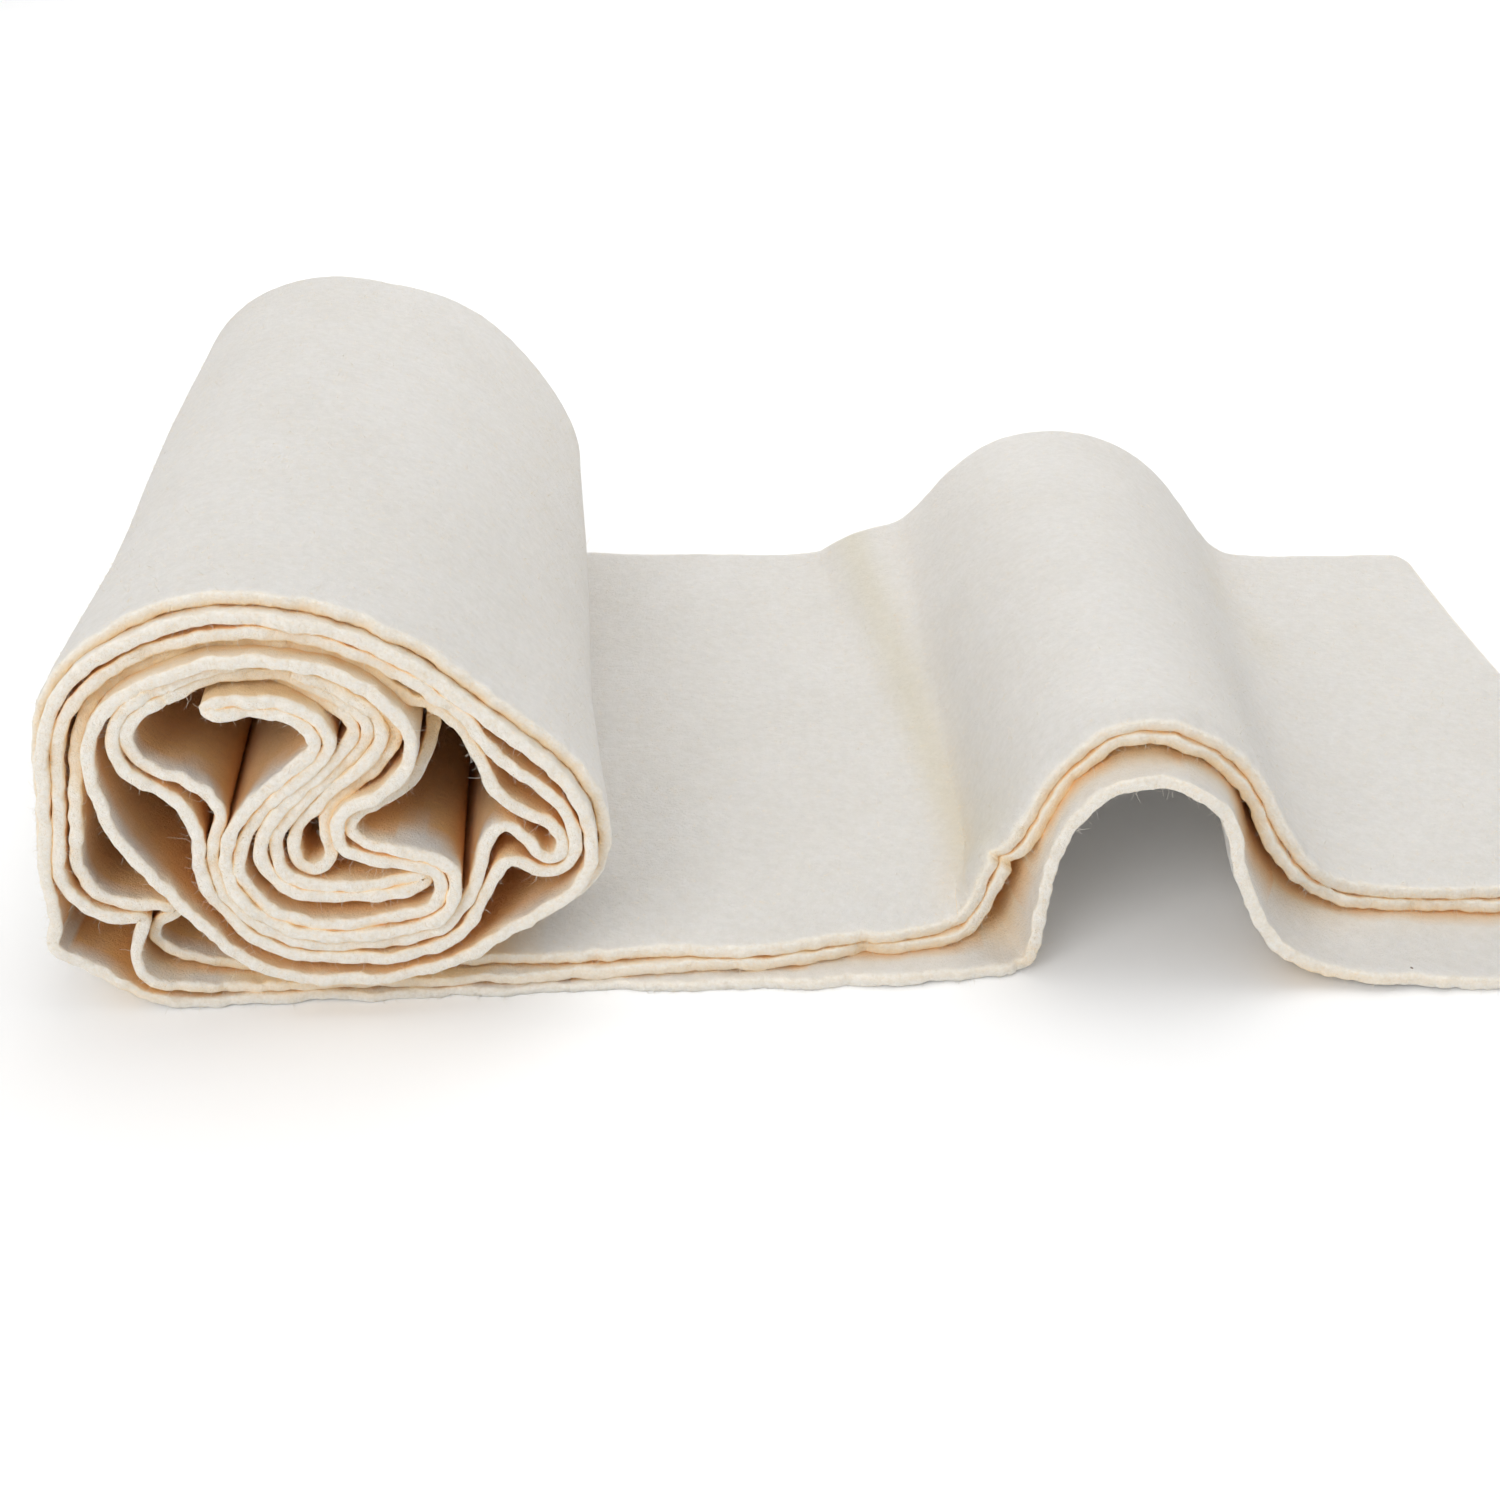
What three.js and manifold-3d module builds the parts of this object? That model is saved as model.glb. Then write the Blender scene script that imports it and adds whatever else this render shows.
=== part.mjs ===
// Roll of cotton batting: a length of undyed needled cotton batting, folded into plies, wound into a
// crumpled roll, with its loose end lying beside the roll and rising in one hump.
// Millimetres, +Z up. X runs along the cloth from the roll to the loose end, Y runs through the roll.
// The origin is the middle of the underside.
import * as THREE from "three";
import Module from "manifold-3d";

const wasm = await Module();
wasm.setup();
const { Manifold, Mesh } = wasm;

// Width of the folded cloth, which is the length of the roll.
const frontEdge = -126;
const backEdge = 126;
const looseFront = -118;
const looseBack = 121;

// The stack of plies.
const plyThickness = 3.2;
const plyGap = 0.8;
const cutEdgeGap = 0.5;
const rollRightEnd = -80;
const looseStart = rollRightEnd + cutEdgeGap;

// The strips that the roll is wound from, outermost first. Each row is one bend of the strip:
// x and z of its middle line at the front end of the roll, and the thickness of the plies there.
const outerTurn = [
  { x: rollRightEnd, z: 6.4, thick: 12.8 },
  { x: -104, z: 6.7, thick: 13.4 },
  { x: -130, z: 6.8, thick: 13.8 },
  { x: -156, z: 6.4, thick: 13.4 },
  { x: -179, z: 6.2, thick: 12.8 },
  { x: -195, z: 12.4, thick: 12.0 },
  { x: -203, z: 22, thick: 11.6 },
  { x: -204.6, z: 34, thick: 11.0 },
  { x: -204, z: 52, thick: 11.2 },
  { x: -201.4, z: 70, thick: 12.4 },
  { x: -195, z: 84, thick: 14.0 },
  { x: -184, z: 95.5, thick: 15.0 },
  { x: -170, z: 102.2, thick: 15.6 },
  { x: -156, z: 103.8, thick: 15.6 },
  { x: -140, z: 100.6, thick: 15.2 },
  { x: -126, z: 95.0, thick: 15.0 },
  { x: -112, z: 86.0, thick: 15.0 },
  { x: -100, z: 73.5, thick: 14.2 },
  { x: -90, z: 62.5, thick: 13.2 },
  { x: -84.2, z: 50, thick: 13.0 },
  { x: -86, z: 38.4, thick: 12.6 },
  { x: -95, z: 29.6, thick: 11.6 },
  { x: -106, z: 24, thick: 10.6 },
];
const secondTurn = [
  { x: -98, z: 27, thick: 9.0 },
  { x: -110, z: 21, thick: 9.6 },
  { x: -125, z: 17.4, thick: 9.8 },
  { x: -142, z: 16.2, thick: 9.6 },
  { x: -156, z: 18.6, thick: 9.4 },
  { x: -167, z: 26, thick: 9.4 },
  { x: -173.6, z: 37, thick: 8.6 },
  { x: -179, z: 48, thick: 8.4 },
  { x: -186.6, z: 58, thick: 9.6 },
  { x: -190, z: 68, thick: 11.0 },
  { x: -188, z: 78, thick: 10.0 },
  { x: -180, z: 87, thick: 8.4 },
  { x: -168, z: 91.4, thick: 8.0 },
  { x: -154, z: 92.6, thick: 9.4 },
  { x: -140, z: 89, thick: 10.4 },
  { x: -127, z: 82.4, thick: 11.0 },
  { x: -121.6, z: 72, thick: 9.0 },
  { x: -127.4, z: 62.6, thick: 8.4 },
  { x: -138, z: 57.4, thick: 6.6 },
  { x: -144.6, z: 48, thick: 6.2 },
  { x: -138, z: 41.6, thick: 6.2 },
  { x: -125, z: 39.8, thick: 6.0 },
  { x: -117, z: 36.4, thick: 5.8 },
  { x: -115, z: 29.6, thick: 6.0 },
];
const innerFold = [
  { x: -166, z: 84, thick: 4.4 },
  { x: -157, z: 84.8, thick: 6.2 },
  { x: -147.4, z: 83, thick: 6.6 },
  { x: -140.6, z: 76, thick: 6.8 },
  { x: -144.6, z: 66.6, thick: 6.8 },
  { x: -154, z: 58.6, thick: 6.8 },
  { x: -162, z: 50, thick: 6.6 },
  { x: -164.6, z: 40, thick: 6.4 },
  { x: -159.4, z: 29.6, thick: 6.6 },
  { x: -147, z: 23, thick: 7.0 },
  { x: -132, z: 23, thick: 7.0 },
  { x: -118, z: 26.4, thick: 6.6 },
];
const coreFold = [
  { x: -141, z: 86, thick: 6.2 },
  { x: -133, z: 82, thick: 6.8 },
  { x: -131.6, z: 75.6, thick: 6.6 },
  { x: -137.6, z: 67.6, thick: 6.4 },
  { x: -147.6, z: 59.2, thick: 6.4 },
  { x: -155, z: 51, thick: 6.4 },
  { x: -155.6, z: 41, thick: 6.4 },
  { x: -149, z: 34, thick: 6.4 },
  { x: -136, z: 32.6, thick: 6.2 },
  { x: -120.6, z: 34.6, thick: 5.4 },
];

// How far each strip stands back from the two ends of the roll, in front and behind.
const strips = [
  { bends: outerTurn, samples: 62, front: 0, back: 0 },
  { bends: secondTurn, samples: 60, front: 3, back: 2 },
  { bends: innerFold, samples: 36, front: 5, back: 6 },
  { bends: coreFold, samples: 28, front: 7, back: 4 },
];
const depthSteps = 5;

// The roll is fuller behind than in front: its right shoulder rises and its left side draws in.
const rollMiddle = { x: -142, z: 54 };
const shoulderLift = 7;
const leftDrawIn = 3.5;
const rollHalfWidth = 68;

// The plies under the roll run back from its front left corner to the edge of the loose end.
const underRoll = { start: -176, top: 20, drawBack: looseFront - frontEdge };

// Bend rows of the loose end, from the roll outwards: x and z of its underside at the front edge and
// at the back edge, and how far the upper plies stand back from the edge of the lower ply.
const looseBends = [
  { frontX: looseStart, frontZ: 0, backX: looseStart, backZ: 0, setBack: 1 },
  { frontX: -40, frontZ: 0, backX: -46, backZ: 0, setBack: 2 },
  { frontX: -4, frontZ: 0, backX: -14, backZ: 0, setBack: 7 },
  { frontX: 16, frontZ: 1.2, backX: 4, backZ: 1.6, setBack: 12 },
  { frontX: 25.6, frontZ: 6, backX: 15, backZ: 8.6, setBack: 15 },
  { frontX: 29.6, frontZ: 15, backX: 25, backZ: 12.6, setBack: 16 },
  { frontX: 31.2, frontZ: 27, backX: 35.6, backZ: 17.4, setBack: 17 },
  { frontX: 33.8, frontZ: 39, backX: 46, backZ: 27, setBack: 18 },
  { frontX: 39.6, frontZ: 50, backX: 57, backZ: 38, setBack: 18 },
  { frontX: 46.4, frontZ: 55.2, backX: 67, backZ: 43.6, setBack: 18 },
  { frontX: 53.6, frontZ: 56.2, backX: 78, backZ: 45.4, setBack: 18 },
  { frontX: 61, frontZ: 54, backX: 89.6, backZ: 43.4, setBack: 18 },
  { frontX: 67.4, frontZ: 48, backX: 100, backZ: 37.6, setBack: 19 },
  { frontX: 72.4, frontZ: 39, backX: 109, backZ: 29, setBack: 20 },
  { frontX: 76.4, frontZ: 28, backX: 118, backZ: 18.4, setBack: 21 },
  { frontX: 81, frontZ: 18, backX: 127, backZ: 9, setBack: 22 },
  { frontX: 88.8, frontZ: 9.6, backX: 136, backZ: 3, setBack: 23 },
  { frontX: 100.6, frontZ: 3.4, backX: 146, backZ: 0.4, setBack: 24 },
  { frontX: 122, frontZ: 0.2, backX: 158, backZ: 0, setBack: 25 },
  { frontX: 160, frontZ: 0, backX: 178, backZ: 0, setBack: 26 },
  { frontX: 201, frontZ: 0, backX: 202.6, backZ: 0, setBack: 26 },
];
const looseSamples = 64;
const lowestPlySetBack = 24;
const lowestPlyRamp = 10;
const layerDepths = [0, 0.12, 0.3, 0.5, 0.7, 0.88, 1];
const foldSteps = 4;

const cotton = new THREE.MeshStandardMaterial({
  name: "batting",
  color: 0xece5d8,
  roughness: 0.95,
  metalness: 0,
});

// A smooth line through rows whose three named columns are taken as x, y and z.
function smoothLine(rows, first, second, third, samples) {
  const points = rows.map((row) => new THREE.Vector3(row[first], row[second], row[third]));
  return new THREE.CatmullRomCurve3(points, false, "centripetal").getPoints(samples);
}

// Unit vector square to the line at one of its points, to the left of the way it runs.
function leftOf(points, index, across, up) {
  const before = points[Math.max(index - 1, 0)];
  const after = points[Math.min(index + 1, points.length - 1)];
  const run = new THREE.Vector2(after[across] - before[across], after[up] - before[up]).normalize();
  return new THREE.Vector2(-run.y, run.x);
}

// The roll's form varies through its depth, from 0 at the front end to 1 at the back end.
function settleInRoll(x, y, z) {
  const depth = THREE.MathUtils.clamp((y - frontEdge) / (backEdge - frontEdge), 0, 1);
  const sideways = THREE.MathUtils.clamp((x - rollMiddle.x) / rollHalfWidth, -1, 1);
  const height = THREE.MathUtils.clamp(z / (2 * rollMiddle.z), 0, 1);
  const ease = THREE.MathUtils.smoothstep(depth, 0, 1);
  const lift = shoulderLift * ease * height * height * Math.max(0, sideways);
  const draw = leftDrawIn * ease * Math.max(0, -sideways);
  const along = THREE.MathUtils.clamp((x - underRoll.start) / (rollRightEnd - underRoll.start), 0, 1);
  const under = z < underRoll.top ? underRoll.drawBack * along * (1 - depth) : 0;
  return new THREE.Vector3(x + draw, y + under, Math.max(0, z + lift));
}

// Closed surface over rings of points: the rings run through the depth, and the first half of each
// ring is one side of the strip and the second half is the other side, in reverse.
function closedSurface(rings) {
  const count = rings[0].length;
  const half = count / 2;
  const index = [];
  const quad = (a, b, c, d) => index.push(a, b, c, a, c, d);
  for (let ring = 0; ring + 1 < rings.length; ring++) {
    for (let i = 0; i < count; i++) {
      const next = (i + 1) % count;
      quad(
        ring * count + i,
        ring * count + next,
        (ring + 1) * count + next,
        (ring + 1) * count + i,
      );
    }
  }
  const last = (rings.length - 1) * count;
  for (let i = 0; i + 1 < half; i++) {
    const opposite = count - 1 - i;
    quad(i, opposite, opposite - 1, i + 1);
    quad(last + i + 1, last + opposite - 1, last + opposite, last + i);
  }
  const geometry = new THREE.BufferGeometry();
  const positions = rings.flat().flatMap((p) => [p.x, p.y, p.z]);
  geometry.setAttribute("position", new THREE.Float32BufferAttribute(positions, 3));
  geometry.setIndex(index);
  return geometry;
}

// One wound strip of the stack, with its own place at the two ends of the roll.
function woundStrip({ bends, samples, front, back }) {
  const line = smoothLine(bends, "x", "thick", "z", samples);
  const rings = [];
  for (let step = 0; step <= depthSteps; step++) {
    const y = THREE.MathUtils.lerp(frontEdge + front, backEdge - back, step / depthSteps);
    const side = (sign) =>
      line.map((p, i) => {
        const left = leftOf(line, i, "x", "z");
        const reach = (sign * p.y) / 2;
        return settleInRoll(p.x + left.x * reach, y, p.z + left.y * reach);
      });
    rings.push([...side(1), ...side(-1).reverse()]);
  }
  return closedSurface(rings);
}

// A geometry as a solid that can be joined to others, turned right side out where needed.
function asSolid(geometry) {
  const vertProperties = new Float32Array(geometry.getAttribute("position").array);
  const triVerts = new Uint32Array(geometry.index.array);
  const made = new Manifold(new Mesh({ numProp: 3, vertProperties, triVerts }));
  if (made.volume() > 0) return made;
  for (let i = 0; i < triVerts.length; i += 3) {
    const first = triVerts[i];
    triVerts[i] = triVerts[i + 1];
    triVerts[i + 1] = first;
  }
  return new Manifold(new Mesh({ numProp: 3, vertProperties, triVerts }));
}

function asMesh(name, solid) {
  const made = solid.getMesh();
  const geometry = new THREE.BufferGeometry();
  geometry.setAttribute("position", new THREE.Float32BufferAttribute(made.vertProperties, 3));
  geometry.setIndex(Array.from(made.triVerts));
  const mesh = new THREE.Mesh(geometry.toNonIndexed(), cotton);
  mesh.geometry.computeVertexNormals();
  mesh.name = name;
  return mesh;
}

// The wound roll: its strips press on one another where they touch and stay apart at the hollows.
const roll = Manifold.union(strips.map((strip) => asSolid(woundStrip(strip))));

// The loose end: lower and upper plies, joined by the soft fold along the back edge.
function looseSection(setBack) {
  const lower = (share) => {
    const y = THREE.MathUtils.lerp(looseFront, looseBack - 6, share);
    const ramp = (y - looseFront - lowestPlySetBack) / lowestPlyRamp;
    const plies = 1 + THREE.MathUtils.smoothstep(ramp, 0, 1);
    return { y, under: 0, over: plies * plyThickness };
  };
  const upper = (share) => {
    const y = THREE.MathUtils.lerp(looseFront + setBack, looseBack - 6, share);
    const rest = lower((y - looseFront) / (looseBack - 6 - looseFront)).over + plyGap;
    return { y, under: rest, over: rest + 2 * plyThickness - 0.8 };
  };
  const lowerRow = layerDepths.map(lower);
  const upperRow = layerDepths.map(upper);
  const outside = lowerRow.map((p) => ({ y: p.y, w: p.under }));
  const inside = lowerRow.map((p) => ({ y: p.y, w: p.over }));
  const foldLow = lowerRow.at(-1);
  const foldHigh = upperRow.at(-1);
  const middle = (foldLow.over + foldHigh.under) / 2;
  for (let step = 1; step < foldSteps; step++) {
    const turn = (step / foldSteps) * Math.PI;
    const swing = -Math.cos(turn);
    const reach = Math.sin(turn);
    outside.push({ y: foldLow.y + 6 * reach, w: middle + (foldHigh.over / 2) * swing });
    inside.push({ y: foldLow.y + 0.4 * reach, w: middle + (plyGap / 2) * swing });
  }
  for (const p of upperRow.toReversed()) {
    outside.push({ y: p.y, w: p.over });
    inside.push({ y: p.y, w: p.under });
  }
  return [...outside, ...inside.reverse()];
}

const frontLine = smoothLine(looseBends, "frontX", "setBack", "frontZ", looseSamples);
const backLine = smoothLine(looseBends, "backX", "setBack", "backZ", looseSamples);
const looseRings = frontLine.map((front, i) => {
  const back = backLine[i];
  const frontLeft = leftOf(frontLine, i, "x", "z");
  const backLeft = leftOf(backLine, i, "x", "z");
  return looseSection(front.y).map(({ y, w }) => {
    const depth = (y - looseFront) / (looseBack - looseFront);
    const ease = THREE.MathUtils.clamp(depth, 0, 1);
    const left = new THREE.Vector2().lerpVectors(frontLeft, backLeft, ease).normalize();
    const x = THREE.MathUtils.lerp(front.x, back.x, ease) + left.x * w;
    const z = THREE.MathUtils.lerp(front.z, back.z, ease) + left.y * w;
    return new THREE.Vector3(x, y, Math.max(0, z));
  });
});

const group = new THREE.Group();
group.add(asMesh("wound_roll", roll));
group.add(asMesh("loose_end", asSolid(closedSurface(looseRings))));

// Bring the middle of the underside to the origin.
const box = new THREE.Box3().setFromObject(group);
const middle = box.getCenter(new THREE.Vector3());
group.position.set(-middle.x, -middle.y, -box.min.z);

export default group;
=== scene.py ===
import bpy
import numpy as np
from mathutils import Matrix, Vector


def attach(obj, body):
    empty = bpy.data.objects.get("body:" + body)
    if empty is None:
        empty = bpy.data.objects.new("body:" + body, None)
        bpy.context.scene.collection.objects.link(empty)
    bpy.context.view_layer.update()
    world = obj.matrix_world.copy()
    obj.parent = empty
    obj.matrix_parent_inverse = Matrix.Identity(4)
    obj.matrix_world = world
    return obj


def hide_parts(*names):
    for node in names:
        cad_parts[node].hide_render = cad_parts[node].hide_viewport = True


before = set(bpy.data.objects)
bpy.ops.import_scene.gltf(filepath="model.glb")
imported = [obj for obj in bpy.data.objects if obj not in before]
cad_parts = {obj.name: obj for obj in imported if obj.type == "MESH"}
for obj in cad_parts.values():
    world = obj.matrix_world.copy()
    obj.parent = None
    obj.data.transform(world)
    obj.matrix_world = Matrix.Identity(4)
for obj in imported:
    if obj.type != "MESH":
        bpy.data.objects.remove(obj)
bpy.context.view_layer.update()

# ---------------------------------------------------------------------------------------------
# The plies of the batting. One length of needled cotton felt is folded twice, so four plies lie
# on each other: the upper, the middle and the lower ply, and the outermost ply under them. This
# section settles the lines that their cut edges follow, seen from the front, from the loose end
# at the right, under the roll, round it, and in to the core.
# ---------------------------------------------------------------------------------------------
MM = 0.001
felt_thickness = 3.2
ply_pitch = 3.3
pressed_pitch = 2.75
lying_front = -118.0
lying_back = 121.0
roll_front = -126.0
roll_back = 126.0
core_front = -129.0
station_step = 2.3

# Lying cloth, right to left: undersides of the lower and the middle ply at their front edges, each
# with its set-back, and the underside of the whole stack at the back.
lying_rows = [
    # low_x, low_z, low_set_back, mid_x, mid_z, mid_set_back, back_x, back_z
    (203.7, 0, 0, 203.2, 4.3, 26, 205.3, 0),
    (162.7, 0.2, 0, 162.7, 3.9, 26, 182.7, 0),
    (146.4, 0, 0, 142.7, 3.8, 25, 169.7, 0),
    (134.3, 0.5, 0, 133.7, 3.7, 25, 159.7, 0.1),
    (121.3, 1.4, 0, 123.7, 4.2, 24, 151.7, 0.5),
    (108.5, 2.4, 0.5, 115.7, 6, 23, 143.7, 1.4),
    (100.9, 4.7, 1, 108.7, 9, 22, 137.2, 4),
    (94.8, 8.1, 1, 103.7, 12.3, 21, 131.7, 7.6),
    (90.6, 11.4, 1, 99.2, 16.5, 19, 127.2, 12),
    (87.2, 15.7, 1, 95.1, 21.6, 17, 123.2, 16.5),
    (83.1, 22.2, 1, 90.2, 27.5, 17, 118.7, 22),
    (79.1, 29.6, 1.2, 85.7, 34, 17, 114.2, 27),
    (76.6, 35.6, 1.5, 81.7, 40.6, 17, 109.2, 32.3),
    (75.4, 40.4, 2, 78.7, 44.9, 17, 105.2, 35.7),
    (73.7, 44.5, 2.2, 75.7, 48, 17, 101.2, 38.5),
    (70.7, 48.4, 2.5, 72.2, 51.8, 17, 96.2, 41.5),
    (66.9, 51.2, 3, 67.7, 56, 16, 90.7, 43.7),
    (62.4, 53.6, 3.5, 63.2, 59, 15, 85.2, 45),
    (58, 54.3, 4, 58.2, 61, 15, 79.7, 45.4),
    (53, 53.8, 4.5, 53.2, 61, 15, 74.2, 44.7),
    (47.3, 52, 5, 48.2, 59.8, 15, 68.7, 43.2),
    (42.7, 48.3, 5.5, 44.2, 54.5, 15, 63.2, 40),
    (39, 42.1, 6, 40.2, 48, 15, 58.2, 36),
    (37.1, 35.6, 6.5, 36.2, 41, 15, 53.7, 31.2),
    (36, 28, 6.8, 32.7, 35.4, 15, 49.5, 25.5),
    (36.1, 20.3, 7, 29.7, 31, 15, 44.7, 20.2),
    (36.3, 13.6, 7.3, 27.2, 26.8, 15, 39.2, 15.4),
    (36, 7.8, 7.5, 25.7, 21.6, 15, 32.7, 12.9),
    (35.1, 3.5, 7.6, 24.3, 14.5, 15, 26.7, 11.9),
    (33.1, 0, 7.6, 21.4, 8.6, 15, 21.2, 10.2),
    (29.2, 0, 6, 18.7, 5.8, 14.5, 16.7, 7),
    (17.7, 0, 4, 12.7, 4, 13.5, 11.2, 3),
    (-0.3, 0, 1.5, -2.3, 3.5, 10, 0.7, 0.6),
    (-16.8, 0, 1, -13.3, 3.5, 8.5, -13.3, 0),
    (-29.3, 0, 0.6, -29.3, 3.5, 5, -31.3, 0),
    (-43.3, 0, 0.3, -43.3, 3.5, 4, -44.3, 0),
    (-59.3, 0, 0, -59.3, 3.4, 3, -59.3, 0),
    (-75.3, 0, 0, -75.3, 3.3, 2, -75.3, 0),
    (-98.3, 0, 0, -98.3, 3.2, 1, -98.3, 0),
    (-122.3, 0, 0, -122.3, 3.2, 1, -122.3, 0),
    (-147.3, 0, 0, -147.3, 3.2, 1, -147.3, 0),
    (-162.3, 0, 0, -162.3, 3.2, 1, -162.3, 0),
]

# Winding, from under the roll up its left side, over the top, down the right side and round the
# left of the second turn: middle line of the lower, middle and upper ply.
winding_rows = [
    # low_x, low_z, mid_x, mid_z, up_x, up_z
    (-174.1, 1.6, -171.4, 6.1, -173.3, 11.4),
    (-180.1, 2.8, -179.8, 7, -179.1, 14.3),
    (-183.6, 4.3, -184.3, 10.5, -182.4, 17.8),
    (-189.3, 8.5, -186.3, 14.9, -182.1, 21.3),
    (-193.8, 11.7, -185.1, 19.3, -179.5, 23.9),
    (-197.3, 13.3, -182.8, 23.6, -175.7, 25.9),
    (-203, 16.6, -183, 26.7, -174.4, 27.3),
    (-206, 18.8, -186.4, 26.2, -177.9, 29),
    (-203.6, 24, -191.2, 26.2, -186.1, 29),
    (-204.2, 30, -196.8, 28.7, -193.1, 30.7),
    (-204.8, 34.4, -200.4, 32.7, -196.6, 34.9),
    (-205, 38.3, -202.2, 37.7, -197.9, 41.1),
    (-204.6, 46, -201.5, 46, -197.3, 48.8),
    (-203.4, 59.5, -200, 59.5, -196.1, 59.5),
    (-202.2, 69.6, -198.5, 71.4, -194.8, 70.1),
    (-199.7, 78.9, -195.1, 81.2, -191.5, 79.2),
    (-196.2, 85.8, -191, 86, -188.6, 84),
    (-191.3, 92.3, -187.1, 89.3, -184.7, 87),
    (-184.1, 97.5, -180, 94.3, -179.2, 90.8),
    (-172.6, 102.9, -173.1, 97.3, -172.2, 94.5),
    (-163.6, 105.1, -164.1, 99.7, -164.3, 96.5),
    (-154.9, 105.3, -155.2, 100.2, -155.4, 97.3),
    (-141.8, 103.6, -142.1, 99.2, -142.2, 96.3),
    (-131, 100.5, -131.2, 96.5, -131.3, 93),
    (-120.1, 96, -120.3, 91.3, -120.4, 87.3),
    (-111.4, 90.3, -111.5, 86.3, -111.6, 82.7),
    (-104.8, 84.8, -106.6, 82.5, -107.2, 78.6),
    (-99.3, 79.9, -102.7, 76.6, -104.5, 73.5),
    (-93.7, 74.3, -98.9, 69.8, -102.3, 68),
    (-88, 68.3, -93.7, 64.8, -100.1, 61.4),
    (-82.9, 61.9, -88, 60.6, -97.2, 56.9),
    (-79.4, 56.1, -84, 56.1, -91.4, 53.6),
    (-77.5, 49.3, -81.7, 50.7, -86.1, 51.2),
    (-77, 43.3, -81, 45.5, -83.3, 47.9),
    (-78.3, 36.9, -82.1, 40.5, -83.7, 43.8),
    (-80.8, 33.2, -86.3, 37.4, -86.8, 41.3),
    (-84.4, 29.9, -90.3, 38.6, -90.3, 44.1),
    (-89.1, 26.7, -93.8, 41.6, -93.3, 48.8),
    (-93.8, 23.6, -96.6, 42.7, -96.7, 52),
    (-97.9, 21.3, -98.9, 40.5, -99.5, 50.9),
    (-101.7, 19, -100.6, 35.5, -101.9, 46.6),
    (-105.4, 16.7, -102.3, 30.7, -103.1, 40),
    (-109.5, 14.9, -104.8, 25.9, -105.1, 33.2),
    (-115.5, 13.2, -108.1, 21.9, -108.5, 27.6),
    (-122.8, 11.4, -113, 19, -113.6, 23.6),
    (-134.8, 10.8, -122.6, 16.9, -122.4, 21.2),
    (-146.7, 11.6, -134.5, 16.6, -134.3, 20.9),
    (-158.3, 15.9, -146.3, 17.7, -146, 22.3),
    (-166, 23.4, -157.8, 22.8, -154.7, 26.5),
    (-172.5, 31.3, -163.8, 30.7, -160.7, 32.7),
    (-177.8, 37.4, -167.4, 36.9, -164.1, 39.7),
    (-184.1, 45.7, -168.4, 44.6, -165.5, 45.7),
    (-188, 52.8, -168.3, 51.1, -163.7, 52),
    (-190.2, 60, -169.7, 57.1, -162.2, 56.5),
    (-191.2, 66.6, -173.1, 60.8, -163.9, 60.8),
    (-190.7, 73.1, -179, 63.7, -168.6, 64.7),
    (-189.5, 78.2, -183.8, 67.4, -176.4, 66.8),
    (-187.2, 83.3, -185.3, 73.1, -181.3, 70.5),
    (-183.4, 87.9, -184.2, 79.5, -182.1, 75.7),
    (-178.7, 90.6, -181.3, 84.3, -180.7, 81.5),
    (-173, 93.3, -177.2, 87.6, -177.7, 85.1),
    (-166.2, 95.3, -172.1, 90.1, -173.4, 87.9),
]

# The rest of each ply, in the heart of the roll. The lower ply turns back on itself at a crosswise
# fold near the top left, so its line runs in to that fold and out again.
lower_heart = [
    # x, z
    (-157.3, 96.6), (-148.5, 96.1), (-139.8, 94.6), (-132.2, 91.9), (-125.7, 88.4), (-121.4, 84.8),
    (-118.2, 81), (-117, 75.2), (-118.5, 69.2), (-122.6, 64), (-128.6, 59.7), (-134.9, 57.9),
    (-136.9, 54.1), (-137.1, 49.8), (-134.9, 46.3), (-128.5, 44.3), (-120.9, 43.2), (-114.7, 41.6),
    (-111.7, 38), (-111.4, 34.1), (-114.3, 29.9), (-120.2, 28.2), (-131.6, 25.6), (-141.1, 25.3),
    (-149.2, 27.6), (-154.4, 31.3), (-157.8, 36.1), (-160, 42.4), (-159.7, 46.5), (-157.5, 51.1),
    (-152.8, 57.1), (-146, 62.9), (-140.1, 67.9), (-136.2, 72.6), (-135.4, 76.4), (-137.2, 81),
    (-140.8, 85.1), (-145.7, 87.4), (-150.8, 87.9), (-156.5, 87.8), (-161.5, 87.6), (-164.9, 85.7),
    (-161.5, 84), (-156, 84.1), (-149.3, 84.3), (-145.3, 83.6), (-141.6, 81.3), (-139.3, 78),
    (-138.8, 74.9), (-140.1, 71.8), (-143.9, 67.9), (-149.9, 63.2), (-155.7, 57.9), (-158.9, 54.7),
    (-161.6, 49.3), (-162.5, 42.4), (-161.1, 36.1), (-157.3, 29.9), (-150.1, 24.8), (-141.2, 22.8),
    (-129.4, 23.1), (-122.2, 23.9), (-116.3, 24.8), (-112.7, 26.5), (-109.5, 31), (-108.5, 36.9),
    (-109.3, 41.3), (-112.3, 44.3), (-116.9, 46), (-124.5, 47.6), (-131.6, 49), (-134, 51.7),
    (-133.9, 55.2), (-131.2, 57.9), (-126.6, 58.1), (-121.8, 58.9), (-117.6, 62.1), (-114.5, 67.4),
    (-113, 73.6), (-112.9, 79.5), (-114.3, 83.8), (-118, 87.4), (-122.4, 89.6),
]
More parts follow.
